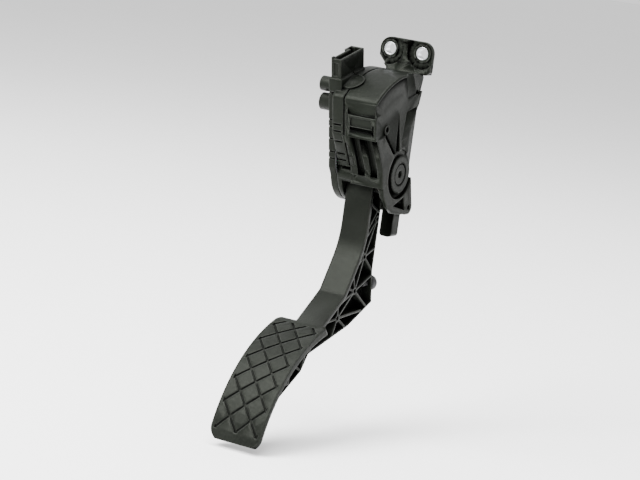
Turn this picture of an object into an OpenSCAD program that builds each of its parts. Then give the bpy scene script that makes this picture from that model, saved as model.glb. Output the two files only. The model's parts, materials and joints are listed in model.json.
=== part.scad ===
// Hanging accelerator pedal with a two-bolt bearing housing and a contactless
// angle sensor under its side cover.
//
// The origin lies midway between the two bolt holes, on the rear face that
// rests on the bulkhead. +Y points into the bulkhead, +Z up along it, and +X to
// the right as the driver sees it. The housing leans towards the driver, so its
// own parts are drawn in a tilted frame whose origin is the pivot.

/* [Mounting flange] */
// Distance between the two bolt holes
bolt_spacing = 22.4; // [20:0.1:26]
// Bore of each metal sleeve
sleeve_bore = 6.6; // [6.2:0.1:7]
// Wall of each metal sleeve
sleeve_wall = 0.7; // [0.6:0.1:1]
// Thickness of the flange
flange_t = 7; // [6:0.1:9]
// Radius of the rounded ends about the bolt holes
lobe_r = 7.2; // [6.8:0.1:8.5]
// Depth of the step behind the flange's edge
edge_step = 2.6; // [1.5:0.1:3]
// Radius of the recess about each bolt hole
recess_r = 9.9; // [9.2:0.1:10]
// Depth of the recess about each bolt hole
recess_depth = 1.8; // [1:0.1:3]
// Height of the full plate below the bolt holes
flange_foot = 8; // [6:0.5:10]
// Width of the locating peg
peg_w = 8.2; // [6:0.1:9]
// Depth of the locating peg from the bulkhead
peg_t = 9; // [7:0.1:10]
// Length of the peg below the back plate
peg_len = 15; // [8:0.5:18]

/* [Pivot] */
// Pivot axis in front of the bulkhead
pivot_reach = 24; // [23:0.1:27]
// Pivot axis below the bolt holes
pivot_drop = 74; // [72:0.5:80]
// Lean of the housing towards the driver
tilt = 15; // [12:0.5:17]
// Diameter of the pivot shaft
shaft_d = 9; // [7:0.1:10]
// Diameter of the shaft's head
head_d = 12.4; // [11.6:0.1:13]
// Wall of each bearing bush
bush_wall = 1.6; // [1.2:0.1:2]
// Radial running gap between the shaft and its bushes
running_gap = 0.05; // [0.02:0.01:0.1]
// Outer radius of the pedal's hub
hub_r = 14.5; // [13:0.1:15.5]

/* [Housing] */
// Radius of the roof about the pivot
roof_r = 62.7; // [61:0.1:66]
// Front wall in front of the pivot
front_reach = 30; // [29:0.1:33]
// Front lip in front of the pivot
lip_reach = 22.5; // [21.5:0.1:24]
// Wall of the housing
wall = 2.2; // [1.8:0.1:2.6]
// Seam between the housing and the sensor carrier
seam_x = -5.5; // [-6.5:0.1:-4.5]
// Outer face of the right wall
right_x = 16.8; // [16:0.1:18]
// Seam between the sensor carrier and its cover
cover_seam_x = -15; // [-16:0.1:-14.6]
// Outer face of the sensor cover
left_x = -20; // [-22:0.1:-19.6]
// Radius of the cover's round lower end
disc_r = 22; // [20:0.1:23]
// Wall of the sensor cover
cover_wall = 1.6; // [1.2:0.1:2]

/* [Connector] */
// Length of the plug shroud
shroud_len = 28; // [26:0.1:30]
// Width of the plug shroud
shroud_w = 6.6; // [6:0.1:8]
// Height of the shroud's rim above the roof
shroud_rise = 13.6; // [12:0.1:17]
// Wall of the plug shroud
shroud_wall = 1.1; // [0.8:0.1:1.3]
// Number of contact blades
contacts = 6; // [4:1:6]
// Spacing of the contact blades
contact_pitch = 4.1; // [3.6:0.1:4.4]

/* [Pedal arm] */
// Width of the arm
arm_w = 18; // [16:0.1:18.4]
// Left face of the arm
arm_left_x = -11.5; // [-11.6:0.1:-11]
// Straight length below the pivot
arm_drop = 33; // [30:0.5:38]
// Length of the upper bend
sweep_len = 24; // [20:0.5:28]
// Angle of the upper bend
sweep_turn = 30; // [24:0.5:34]
// Straight length between the upper bend and the crease
mid_len = 20.5; // [16:0.5:24]
// Angle of the crease
crease_turn = 25; // [20:0.5:28]
// Straight length between the crease and the pad
shin_len = 28; // [24:0.5:32]
// Thickness of the front plate
face_t = 3; // [2.4:0.1:4]
// Thickness of the rear rim
rim_t = 1.8; // [1.4:0.1:2.6]
// Thickness of the web between the two sides
web_t = 2.4; // [1.8:0.1:3]
// Thickness of the lattice ribs
rib_t = 1.5; // [1.1:0.1:2]
// Full travel of the pedal
travel = 15; // [12:0.5:15]

/* [Foot pad] */
// Width of the pad
pad_w = 34.4; // [30:0.1:40]
// Length of the pad along its face
pad_len = 98; // [90:1:106]
// Angle that the pad's face turns through
pad_turn = 61; // [50:1:70]
// Angle between the arm's face and the top of the pad
pad_kick = 21; // [14:0.5:26]
// Thickness of the pad at its top
pad_t = 4.6; // [4:0.1:6]
// Thickness of the pad at its toe
toe_t = 2.6; // [2.2:0.1:3.2]
// Offset of the pad from the arm's middle
pad_offset = -4; // [-6:0.1:-2]
// Width of the grooves
groove_w = 1.4; // [0.8:0.1:1.6]
// Depth of the grooves
groove_depth = 0.9; // [0.5:0.1:1.4]
// Spacing of the diamonds along the pad
diamond_pitch = 15.6; // [13:0.1:18]
// Plain margin beside the diamonds
pad_margin = 2.9; // [2:0.1:4]

/* [Springs] */
// Height of the roof above the springs' axis
spring_drop = 22.2; // [21.5:0.1:22.6]
// Middle of the springs across the housing
spring_x = 3; // [2:0.1:3.5]
// Outer diameter of the outer spring
outer_spring_d = 15.6; // [14:0.1:16]
// Wire of the outer spring
outer_wire = 1.6; // [1.2:0.1:1.8]
// Outer diameter of the inner spring
inner_spring_d = 10.4; // [9:0.1:10.6]
// Wire of the inner spring
inner_wire = 1.1; // [0.8:0.1:1.2]

/* [Hidden] */

$fn = 96;
// Overrun of every cut past the face that it opens
cut = 1;
// Length that stands for unlimited in a cut
far = 200;
// Turn of each straight step that stands for a bend
bend_step = 4;

sleeve_r = sleeve_bore / 2 + sleeve_wall;
bush_r = shaft_d / 2 + running_gap + bush_wall;
arm_right_x = arm_left_x + arm_w;
arm_mid_x = arm_left_x + arm_w / 2;
// Seat of the springs on the pedal's horn, and the horn's front and rear edges
saddle_y = 1.5;
spring_z = roof_r - spring_drop;
horn_front = [[-hub_r + 1, 2], [saddle_y, spring_z - 9.2]];
horn_rear = [[hub_r - 1, 3], [saddle_y + 9, spring_z + 5]];
plastic = [0.11, 0.11, 0.115];
steel = [0.72, 0.73, 0.75];

// Frames

module tilted() {
    translate([0, -pivot_reach, -pivot_drop]) rotate([tilt, 0, 0]) children();
}

// A side outline, drawn as (depth, height), made solid from x0 to x1
module side(x0, x1) {
    translate([x0, 0, 0]) rotate([90, 0, 90]) linear_extrude(x1 - x0) children();
}

// A round bar along X about (y, z), from x0 to x1
module bar_x(x0, x1, r, y = 0, z = 0) {
    translate([x0, y, z]) rotate([0, 90, 0]) cylinder(r = r, h = x1 - x0);
}

// Everything in front of the bulkhead by a gap, in the tilted side view
module before_bulkhead(gap) {
    rotate(-tilt) translate([-far, -far]) square([far + pivot_reach - gap, 2 * far]);
}

// Housing

slope_top = roof_r - 31.7;
slope_foot = 8;
lip_foot = -2.5;
flute_depth = 2.6;
back_t = 3;
boss_r = 15;
disc_face_r = 11.8;
channel_r = boss_r + 0.5;
head_gap = 0.9;
brow_r = 3.4;
// Rear limit of the full width, as (depth, height) in the bulkhead's frame
wide_rear = [[-7.8, -15], [-14.8, -44]];
narrow_x = arm_right_x + 3.5;
cheek_x = arm_right_x + 2.3;
label_x = [-2.6, right_x];
label_z = [slope_top, roof_r - 17.5];
ledge_top = 4;

// Rounded front edge of a roof of radius r, whose front wall is drawn back by inset
module brow(r, inset, edge_r) {
    yc = -front_reach + inset + edge_r;
    zc = sqrt(pow(r - edge_r, 2) - yc * yc);
    difference() {
        circle(r, $fn = 180);
        polygon([[yc - far, zc], [yc, zc], [yc, zc] * (1 + far / r), [yc - far, zc + far]]);
    }
    translate([yc, zc]) circle(edge_r);
}

// Side view of the full-width front of the housing; its rear part is narrower
module wide_part(gap) {
    rotate(-tilt) translate([pivot_reach, pivot_drop]) translate([-gap, 0])
        polygon([[-far, far], [wide_rear[0][0], far], wide_rear[0], wide_rear[1],
            [wide_rear[1][0], -far], [-far, -far]]);
}

module box_outline() {
    intersection() {
        brow(roof_r, 0, brow_r);
        before_bulkhead(0);
        polygon([[-front_reach, roof_r], [-front_reach, slope_top],
            [-front_reach + flute_depth, slope_top], [-lip_reach + flute_depth, slope_foot],
            [-lip_reach + flute_depth, ledge_top], [-lip_reach, ledge_top],
            [-lip_reach, lip_foot], [far, lip_foot], [far, roof_r]]);
    }
}

module box_hollow() {
    intersection() {
        brow(roof_r - wall, wall, brow_r - wall);
        before_bulkhead(back_t);
        polygon([[-front_reach + wall, roof_r], [-front_reach + wall, slope_top + 1.6],
            [-front_reach + flute_depth + wall, slope_top],
            [-lip_reach + flute_depth + wall, slope_foot],
            [-lip_reach + wall, ledge_top - wall], [-lip_reach + wall, lip_foot],
            [-hub_r, -far], [far, -far], [far, roof_r]]);
    }
}

// Side wall about the pivot, with the tail that carries the lower screw boss
tail = [11, -25.5];
tail_r = 4.4;
cheek_r = 22.3;

module cheek_outline() {
    intersection() {
        before_bulkhead(0);
        union() {
            intersection() {
                circle(cheek_r);
                wide_part(0);
            }
            translate(tail) circle(tail_r);
            polygon([[-cheek_r, 0], [-17.4, -15], [-10.5, -22.4], [-3, -25.6],
                tail + [0, -tail_r], tail + [tail_r, 0], [boss_r - 1, -5], [0, 0]]);
        }
    }
}

// Front face in the tilted side view at height z
function front_y(z) = z >= slope_top ? -front_reach : z <= slope_foot ? -lip_reach :
    -lip_reach - (front_reach - lip_reach) * (z - slope_foot) / (slope_top - slope_foot);

// Strip of the front face between two heights, from t0 to t1 behind it
module front_strip(z0, z1, t0, t1) {
    polygon([[front_y(z0) + t0, z0], [front_y(z1) + t0, z1],
        [front_y(z1) + t1, z1], [front_y(z0) + t1, z0]]);
}

// Teeth of the front seam, as [foot, top, reach]: the carrier's teeth reach over the
// housing, and where the reach is negative the housing's reach over the carrier
teeth = [[roof_r - 25.9, roof_r - 16.1, 0.9], [25.6, 31, -2], [16.6, 24.4, 1.6], [9.4, 16, 3]];
tooth_t = 1.3;
tooth_gap = 0.15;

module seam_teeth(over, gap) {
    for (t = teeth) if (t[2] * over > 0)
        side(min(seam_x - gap, seam_x + t[2] - gap), max(seam_x + gap, seam_x + t[2] + gap))
            front_strip(t[0] - gap, t[1] + gap, -gap, tooth_t + gap);
}

// Flutes and the ledge under them on the front wall
flute_ribs = [[seam_x, -0.6], [4.4, 8.2], [13.2, right_x]];

module flutes() {
    for (rib = flute_ribs)
        side(rib[0], rib[1])
            polygon([[-front_reach, slope_top], [-lip_reach, slope_foot],
                [-lip_reach, lip_foot], [-lip_reach + wall, lip_foot],
                [-lip_reach + flute_depth + wall, slope_foot],
                [-front_reach + flute_depth + wall, slope_top]]);
}

// Box on the front wall over the spring seat, with a plain recessed panel
label_proud = 1.3;
cove_depth = 1.1;
panel_depth = 0.8;

module label_box() {
    y0 = -front_reach - label_proud;
    difference() {
        translate([label_x[0], y0, label_z[0]])
            cube([label_x[1] - label_x[0], label_proud + wall, label_z[1] - label_z[0]]);
        translate([label_x[0] + 1.6, y0 - cut, label_z[0] + 7.4])
            cube([label_x[1] - label_x[0] - 5.2, cut + panel_depth, 5.4]);
        translate([label_x[0] + 1.2, y0 - cut, label_z[0] + 5])
            cube([label_x[1] - label_x[0] - 3.4, cut + 1.7, 1.8]);
        translate([label_x[1] - 2.6, y0 - cut, label_z[0] + 2.4])
            cube([1, cut + label_proud + 1.2, 7.4]);
    }
}

// Hollows on both sides of the fin behind the hub, which deepen from their top at
// fin_top down to the hub's channel
fin_top = roof_r - 22.4;
fin_pockets = [[[-2.2, fin_top], [-1.6, 14.6], [-6.6, 13.4], [-5.6, 22]],
    [[7.4, fin_top - 2], [far, fin_top - 4], [far, 8], [12, 8.5], [2, 14.4], [1.4, 22]]];
pocket_depth = 1.9;

// Three-cornered pocket between the hub and the lower screw
cheek_notch = [[-9.2, -17.8], [4.4, -16.4], [5.4, -25.4]];

// Groove that runs from the small front boss down to the hub
groove_line = [[-18.6, roof_r - 32.2], [-5.6, 12.4]];

// Flank under the roof's edge: a cone that leaves the wall at flank_r
flank_r = roof_r - 11.2;
flank_drop = 1.3;
flank_foot = roof_r - 16.5;
lip_end = 9;
roof_chamfer = 0.9;

module flank() {
    intersection() {
        difference() {
            bar_x(right_x - flank_drop, right_x + cut, roof_r - 1.4);
            translate([right_x - flank_drop, 0, 0]) rotate([0, 90, 0])
                cylinder(r1 = roof_r - 1.4, r2 = flank_r, h = flank_drop);
            bar_x(right_x - cut, right_x + far, flank_r);
        }
        translate([0, -front_reach - cut, flank_foot]) cube([far, far, far]);
    }
    // The lip ends before the rear corner
    translate([right_x - flank_drop, lip_end, flank_foot]) cube([far, far, far]);
    difference() {
        bar_x(right_x - roof_chamfer, right_x + cut, roof_r + cut);
        translate([right_x - roof_chamfer, 0, 0]) rotate([0, 90, 0])
            cylinder(r1 = roof_r, r2 = roof_r - roof_chamfer - cut, h = roof_chamfer + cut);
    }
}

module right_wall_relief() {
    flank();
    intersection() {
        for (p = fin_pockets) side(right_x - far, right_x + cut) polygon(p);
        rotate([90, 0, 0]) translate([0, 0, -far]) linear_extrude(2 * far)
            polygon([[right_x, fin_top + 1], [right_x - pocket_depth, boss_r + 5],
                [right_x - pocket_depth, 0], [right_x + cut, 0], [right_x + cut, fin_top + 1]]);
    }
    side(right_x - 1.6, right_x + cut) bar_2d(groove_line[0], groove_line[1], 2);
    // Round channel about the hub boss
    difference() {
        bar_x(right_x - 2.2, right_x + cut, channel_r);
        bar_x(right_x - far, right_x + far, disc_face_r);
    }
    side(right_x - 1.6, right_x + cut) polygon(cheek_notch);
}

// A straight bar between two points of a side view
module bar_2d(a, b, t) {
    d = b - a;
    translate(a) rotate(atan2(d[1], d[0])) translate([0, -t / 2]) square([norm(d), t]);
    translate(a) circle(t / 2 - 0.04);
    translate(b) circle(t / 2 - 0.04);
}

flange_bottom = -flange_foot - 7;
collar_r = sleeve_r + 1.9;
collar_h = 0.6;
step_in = 1.6;

// Step behind the edge, so that the flange rests on its middle
module edge_relief() {
    r = lobe_r - step_in;
    translate([0, cut, 0]) rotate([90, 0, 0]) linear_extrude(edge_step + cut) difference() {
        union() {
            translate([-far, 0]) square([2 * far, far]);
            translate([bolt_spacing / 2, -far]) square([far, 2 * far]);
        }
        for (s = [-1, 1]) translate([s * bolt_spacing / 2, 0]) circle(r);
        translate([-bolt_spacing / 2, -1]) square([bolt_spacing, r + 1]);
        translate([0, 1 - far]) square([bolt_spacing / 2 + r, far - 1]);
    }
}

// Two-bolt flange, with the raised web between the bolt holes
module flange() {
    plate_l = -bolt_spacing / 2;
    foot = flange_bottom;
    foot_r = -flange_foot - 2;
    difference() {
        rotate([90, 0, 0]) linear_extrude(flange_t) difference() {
            union() {
                for (s = [-1, 1]) translate([s * bolt_spacing / 2, 0]) circle(lobe_r);
                translate([plate_l, foot]) square([bolt_spacing, lobe_r - foot]);
                translate([0, foot_r]) square([bolt_spacing / 2 + lobe_r, -foot_r]);
                translate([bolt_spacing / 2 - 2, foot_r - 3]) square([lobe_r - 1, 4]);
                translate([bolt_spacing / 2 + lobe_r - 3, foot_r]) circle(3);
                polygon([[-bolt_spacing / 2 - lobe_r, 0], [-bolt_spacing / 2 - lobe_r, -4.6],
                    [plate_l, foot + 2.4], [0, foot + 2.4], [0, 0]]);
            }
            for (s = [-1, 1]) translate([s * bolt_spacing / 2, 0]) circle(sleeve_r);
        }
        difference() {
            for (s = [-1, 1]) {
                translate([s * bolt_spacing / 2, -flange_t - cut, 0]) rotate([-90, 0, 0])
                    cylinder(r = recess_r, h = recess_depth + cut);
                translate([s > 0 ? bolt_spacing / 2 : -far, -flange_t - cut, -2])
                    cube([far - (s > 0 ? 0 : bolt_spacing / 2), recess_depth + cut, far]);
            }
            // Low collar about each sleeve
            for (s = [-1, 1]) translate([s * bolt_spacing / 2, -flange_t + recess_depth, 0])
                rotate([90, 0, 0]) cylinder(r = collar_r, h = collar_h);
        }
        edge_relief();
    }
}

module sleeve(s) {
    color(steel) translate([s * bolt_spacing / 2, 0, 0]) rotate([90, 0, 0])
        linear_extrude(flange_t - recess_depth + collar_h + 0.1) difference() {
            circle(sleeve_r);
            circle(sleeve_bore / 2);
        }
}

// Back plate behind the mechanism, and the peg below it
back_x = [-14, 9.4];
lug_x = 12.8;
lug_h = 14;
peg_corner = 2.2;
back_foot = -101.5;
peg_x = 0.2;

module back_plate() {
    translate([back_x[0], -back_t, back_foot])
        cube([back_x[1] - back_x[0], back_t, -flange_foot - back_foot]);
    translate([0, -back_t, back_foot]) cube([lug_x, back_t, lug_h]);
    rotate([90, 0, 0]) linear_extrude(peg_t) {
        translate([peg_x, back_foot - peg_len + peg_corner])
            square([peg_w, peg_len + 4 - peg_corner]);
        translate([peg_x + peg_corner, back_foot - peg_len])
            square([peg_w - 2 * peg_corner, peg_len]);
        for (x = [peg_x + peg_corner, peg_x + peg_w - peg_corner])
            translate([x, back_foot - peg_len + peg_corner]) circle(peg_corner);
    }
}

// Stops for the horn: a rib behind it at rest, and one in front at full travel
stop_x = [spring_x - 2, spring_x + 2];
stop_gap = 0.05;
stop_z = [24, 35];
stop_u = [0.42, 0.62];

function turned(p, a) = [p[0] * cos(a) - p[1] * sin(a), p[0] * sin(a) + p[1] * cos(a)];
function horn_rear_y(z) = lookup(z, [[horn_rear[1][1], horn_rear[1][0]],
    [horn_rear[0][1], horn_rear[0][0]]]);
function horn_front_at(u) = horn_front[0] + u * (horn_front[1] - horn_front[0]);

module stops() {
    side(stop_x[0], stop_x[1]) polygon([[horn_rear_y(stop_z[0]) + stop_gap, stop_z[0]],
        [horn_rear_y(stop_z[1]) + stop_gap, stop_z[1]], [far, stop_z[1]], [far, stop_z[0]]]);
    tip = [for (u = stop_u) turned(horn_front_at(u), travel + 0.3)];
    side(stop_x[0], stop_x[1]) polygon([tip[0], tip[1], [-far, tip[1][1] + 1],
        [-far, tip[0][1] - 1]]);
}

// Screw posts, in the tilted side view
rear_post = [22.5, roof_r - 16.2];
posts = [rear_post, tail];
post_r = 3.4;
screw_r = 1.6;
boss_dot = [-18.5, roof_r - 27.7];

module housing() {
    color(plastic) difference() {
        union() {
            tilted() difference() {
                union() {
                    side(seam_x, narrow_x) box_outline();
                    side(seam_x, right_x) intersection() {
                        box_outline();
                        wide_part(0);
                    }
                    side(right_x - 3, right_x) cheek_outline();
                    bar_x(cheek_x, right_x, boss_r);
                    flutes();
                    label_box();
                    for (p = posts) bar_x(seam_x, right_x, post_r, p[0], p[1]);
                    seam_teeth(-1, 0);
                    bar_x(right_x - 3, right_x + 0.7, 3.1, boss_dot[0], boss_dot[1]);
                }
                difference() {
                    union() {
                        side(seam_x - cut, cheek_x) box_hollow();
                        side(seam_x - cut, right_x - wall) intersection() {
                            box_hollow();
                            wide_part(wall);
                        }
                    }
                    bar_x(cheek_x, right_x, boss_r);
                    for (p = posts) bar_x(seam_x - cut, right_x, post_r, p[0], p[1]);
                    stops();
                }
                right_wall_relief();
                // Cove under the roof's brow
                side(label_x[0] - 1, label_x[1] - 1.6) polygon([
                    [-front_reach - cut, label_z[1]], [-front_reach + cove_depth, label_z[1]],
                    [-front_reach, label_z[1] + 5.4], [-front_reach - cut, label_z[1] + 5.4]]);
                seam_teeth(1, tooth_gap);
                bar_x(seam_x - cut, barrel_x[1] + tooth_gap, barrel_r + tooth_gap,
                    barrel[0], barrel[1]);
                bar_x(cheek_x - cut, right_x + cut, bush_r);
                bar_x(right_x - 1.4, right_x + cut, head_d / 2 + head_gap);
                for (p = posts) bar_x(seam_x - cut, right_x - 4, screw_r, p[0], p[1]);
                for (p = posts) bar_x(right_x - 3, right_x + cut, 1.5, p[0], p[1]);
                bar_x(right_x - 1.5, right_x + 3, 1.7, boss_dot[0], boss_dot[1]);
            }
            flange();
            back_plate();
        }
        // Nothing stands behind the rear face
        translate([-far, 0, -far]) cube([2 * far, far, 2 * far]);
    }
}

// Sensor carrier: the middle layer, with the plug shroud on its roof

carrier_wall = 2;
web_x = [cover_seam_x, cover_seam_x + 2.6];
shroud_right_x = -11;
shroud_mid_y = -11.2;
shroud_top = roof_r + shroud_rise;
// Plinth that the shroud stands on: its foot and top, and how far it stands out
plinth_z = [roof_r - 9, roof_r + 1.4];
plinth_out = 0.7;
barrel = [-17.4, 1.6];
barrel_r = 5.3;
barrel_x = [cover_seam_x, seam_x + 1.4];
arm_gap = 1.2;
// Depth of the shadow gap along the seam
seam_groove = 1.1;
// Grooves across the carrier's front
slot_z = [36.4, 32, 24.9, 16.2, 11.6];
slot_h = 1.2;

module carrier_outline(inset = 0) {
    intersection() {
        brow(roof_r - inset, inset, brow_r - inset);
        before_bulkhead(back_t + tooth_gap);
        polygon([[-front_reach + inset, roof_r], [-front_reach + inset, slope_top],
            [-lip_reach + inset, slope_foot],
            [barrel[0], slope_foot], [barrel[0], 0], [0, 0], [0, -disc_r + 1], [tail[0] + 5, -disc_r - 7], [far, 0],
            [far, roof_r]]);
    }
}

module carrier_hollow() {
    intersection() {
        brow(roof_r - carrier_wall, wall, brow_r - wall);
        before_bulkhead(back_t + 1.5);
        polygon([[-front_reach + wall, roof_r], [-front_reach + wall, slope_top + wall],
            [-lip_reach + wall, slope_foot + wall], [-hub_r - arm_gap, slope_foot + wall],
            [-hub_r - arm_gap, -far], [far, -far], [far, roof_r]]);
    }
}

// Rounded bar across the front under the seam, beside the lip
module barrel() {
    difference() {
        bar_x(barrel_x[0], barrel_x[1], barrel_r, barrel[0], barrel[1]);
        // Room for the arm, which hangs straight down
        rotate([-tilt, 0, 0]) translate([-far, -hub_r - 0.7, -far]) cube([2 * far, far, far]);
        bar_x(cover_seam_x - cut, right_x, hub_r + arm_gap);
    }
}

// Round-ended spring clip that reaches over the housing's roof
clip_angle = [8, 22];
clip_reach = 5;
clip_t = 1.2;

module clip_tongue() {
    a0 = clip_angle[0];
    a1 = clip_angle[1];
    intersection() {
        difference() {
            bar_x(cover_seam_x, seam_x + clip_reach, roof_r + clip_t);
            bar_x(cover_seam_x - cut, far, roof_r);
        }
        rotate([(a0 + a1) / 2, 0, 0]) union() {
            w = 2 * roof_r * sin((a1 - a0) / 2);
            translate([cover_seam_x, -w / 2, 0])
                cube([seam_x + clip_reach - cover_seam_x - w / 2, w, far]);
            translate([seam_x + clip_reach - w / 2, 0, 0]) cylinder(d = w, h = far);
        }
    }
}

// Plug shroud on its plinth
module shroud() {
    x1 = shroud_right_x;
    x0 = x1 - shroud_w;
    y0 = shroud_mid_y - shroud_len / 2;
    difference() {
        union() {
            translate([x0, y0, plinth_z[1] - 1])
                cube([shroud_w, shroud_len, shroud_top - plinth_z[1] + 1]);
            translate([left_x + 1, y0 - plinth_out, plinth_z[0]])
                cube([x1 + plinth_out - left_x - 1, shroud_len + plinth_out,
                    plinth_z[1] - plinth_z[0]]);
            // Latch tower at the rear end
            translate([x0 - 2.4, y0 + shroud_len - 8, plinth_z[1] - 1])
                cube([2.4 + cut, 8, shroud_top - plinth_z[1] + 1]);
            // Key on the rim's front corner
            translate([x0, y0, shroud_top - 1]) cube([shroud_wall, 2.4, 1.9]);
        }
        translate([x0 + shroud_wall, y0 + shroud_wall, plinth_z[1] + 1])
            cube([shroud_w - 2 * shroud_wall, shroud_len - 2 * shroud_wall, far]);
        translate([x0 - 1.4, y0 + shroud_len - 6.6, plinth_z[1] + 2])
            cube([shroud_w / 2, 5.2, far]);
        // Shallow panel on the front end
        translate([x0 + 1.6, y0 - cut, plinth_z[1] + 1.6])
            cube([shroud_w - 3.2, cut + 0.5, shroud_rise - 5.6]);
        // The plinth stands on the carrier's roof
        bar_x(left_x - cut, x1 + plinth_out + cut, roof_r - 1.4);
    }
}

// Contact blade: down through the shroud floor and the web, then into the board
blade = [0.6, 1.2];
blade_x = shroud_right_x - shroud_w / 2;
blade_top = shroud_top - 4.3;
blade_foot = roof_r - 12.7;
board_x = [left_x + cover_wall + 0.3, left_x + cover_wall + 1.3];

board_pegs = [[-15, 38], [8, 38], [-14, 12], [12, 12]];
// Foot, top and rear edge of the board
board_z = [-10, blade_foot + 4];
board_rear = 16;

function blade_y(i) = shroud_mid_y + (i - (contacts - 1) / 2) * contact_pitch;

module blade_body(i, gap = 0) {
    t = blade[0] + 2 * gap;
    w = blade[1] + 2 * gap;
    x1 = blade_x + t / 2;
    translate([x1 - t, blade_y(i) - w / 2, blade_foot - gap])
        cube([t, w, blade_top - blade_foot + gap]);
    translate([board_x[0] - 0.2, blade_y(i) - w / 2, blade_foot - gap])
        cube([x1 - board_x[0] + 0.2, w, t]);
}

module terminal(i) {
    color([0.78, 0.66, 0.36]) tilted() blade_body(i);
}

module sensor_carrier() {
    color(plastic) tilted() difference() {
        union() {
            difference() {
                side(cover_seam_x, seam_x) carrier_outline();
                side(web_x[1], seam_x + cut) carrier_hollow();
                seam_teeth(-1, tooth_gap);
                // Shadow gaps along both seams, on the roof and down the front
                for (x = [cover_seam_x - cut, seam_x - seam_groove])
                    side(x, x + cut + seam_groove) difference() {
                        translate([-far, slope_foot + 1]) square([2 * far, far]);
                        carrier_outline(seam_groove);
                    }
                for (z = slot_z) side(cover_seam_x - cut, seam_x - 2.4)
                    front_strip(z, z + slot_h, -cut, slot_h);
            }
            seam_teeth(1, 0);
            side(web_x[0], web_x[1]) intersection() {
                circle(disc_r);
                before_bulkhead(back_t + tooth_gap);
            }
            bar_x(web_x[0], web_x[1], bush_r + 2.4);
            for (p = posts) bar_x(web_x[0], seam_x, post_r, p[0], p[1]);
            barrel();
            clip_tongue();
            shroud();
            for (p = board_pegs) bar_x(board_x[1], web_x[0] + cut, 1.6, p[0], p[1]);
        }
        bar_x(web_x[0] - cut, web_x[1] + cut, bush_r);
        for (p = posts) bar_x(web_x[0] - cut, seam_x + cut, screw_r + 0.2, p[0], p[1]);
        for (i = [0:contacts - 1]) blade_body(i, 0.03);
        // Clear of the back of the flange's foot
        rotate([-tilt, 0, 0]) translate([-far, pivot_reach - flange_t - tooth_gap,
            pivot_drop + flange_bottom - tooth_gap]) cube([2 * far, far, far]);
        // Slot that lets the clip spring
        rotate([(clip_angle[0] + clip_angle[1]) / 2, 0, 0])
            translate([cover_seam_x + 1.6, 6.2, roof_r - 0.8]) cube([6.5, 0.8, 4]);
    }
}

// Sensor cover: a lid with two round studs on its left face

cover_r = roof_r - 3.6;
cover_front = 24.3;
bulge_r = 18.4;
bulge = 1.6;
studs = [[-15, roof_r - 6.7, 4.6, 9.4], [-18.6, roof_r - 16.8, 5.3, 7.4]];
seal_t = 0.5;
slat_z = [[36.6, 37.6], [32, 33], [24.4, 25.4], [16, 17], [11.6, 12.6]];

module cover_outline(inset = 0) {
    intersection() {
        circle(cover_r - inset, $fn = 180);
        before_bulkhead(3 + inset);
        union() {
            circle(disc_r - inset);
            polygon([[-cover_front + inset, cover_r], [-cover_front + inset, 6],
                [-disc_r + inset, 0], [disc_r, 0], [far, cover_r]]);
            polygon([[0, 0], [0, -disc_r + inset], tail + [1, -tail_r + inset],
                tail + [tail_r - inset, 0], [far, 0]]);
        }
    }
}

module sensor_cover() {
    x1 = cover_seam_x - seal_t;
    color(plastic) tilted() difference() {
        union() {
            difference() {
                union() {
                    side(left_x, x1) cover_outline();
                    bar_x(left_x - bulge, x1, bulge_r);
                }
                side(left_x + cover_wall, x1 + cut) cover_outline(cover_wall);
                bar_x(left_x - bulge + cover_wall, x1 + cut, bulge_r - cover_wall);
            }
            for (p = posts) bar_x(left_x, x1, post_r, p[0], p[1]);
            for (s = studs) bar_x(left_x - s[3], left_x + cut, s[2], s[0], s[1]);
        }
        for (p = posts) bar_x(left_x - cut, x1 + cut, screw_r + 0.2, p[0], p[1]);
        for (p = posts) bar_x(left_x - cut, left_x + 1.4, 2.9, p[0], p[1]);
        for (s = studs) {
            bar_x(left_x + 1, left_x + cover_wall + cut, s[2] - 1.2, s[0], s[1]);
            bar_x(left_x - s[3] - cut, left_x - s[3] + 2.5, s[2] - 2.2, s[0], s[1]);
        }
        for (z = slat_z) translate([left_x - cut, -cover_front - cut, z[0]])
            cube([far, cut + 0.7, z[1] - z[0]]);
    }
}

module cover_gasket() {
    color([0.05, 0.05, 0.05]) tilted()
        side(cover_seam_x - seal_t, cover_seam_x) difference() {
            cover_outline(0.3);
            cover_outline(cover_wall - 0.2);
            for (p = posts) translate(p) circle(screw_r + 0.4);
        }
}

// The screws end this far short of the right face
screw_stop = 6;

module cover_screws() {
    head_r = 2.7;
    color(steel) tilted() for (p = posts) {
        bar_x(left_x + 0.2, left_x + 1.4, head_r, p[0], p[1]);
        bar_x(left_x + 1.2, right_x - screw_stop, screw_r - 0.02, p[0], p[1]);
    }
}

// Sensor: board, chip, and the magnet carrier on the shaft's end

module circuit_board() {
    color([0.09, 0.3, 0.16]) tilted() side(board_x[0], board_x[1]) difference() {
        intersection() {
            cover_outline(cover_wall + 0.5);
            translate([-cover_front, board_z[0]])
                square([cover_front + board_rear, board_z[1] - board_z[0]]);
        }
        for (i = [0:contacts - 1]) translate([blade_y(i), blade_foot + blade[0] / 2])
            circle(0.9, $fn = 24);
    }
}

chip_t = 0.9;

module sensor_chip() {
    color([0.04, 0.04, 0.04]) tilted() translate([board_x[0] - chip_t, -3, -2.5]) cube([chip_t, 6, 5]);
}

// Depth of the shaft's tongue in the rotor
tongue_t = 0.6;
rotor_x = [board_x[1] + 0.4, web_x[0] - 0.15];

module sensor_rotor() {
    color([0.85, 0.84, 0.8]) tilted() difference() {
        bar_x(rotor_x[0], rotor_x[1], 6.5);
        bar_x(rotor_x[0] - cut, rotor_x[0] + 0.8, 4);
        translate([rotor_x[1] - tongue_t, -1.5, -3]) cube([cut + tongue_t, 3, 6]);
    }
}

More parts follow.
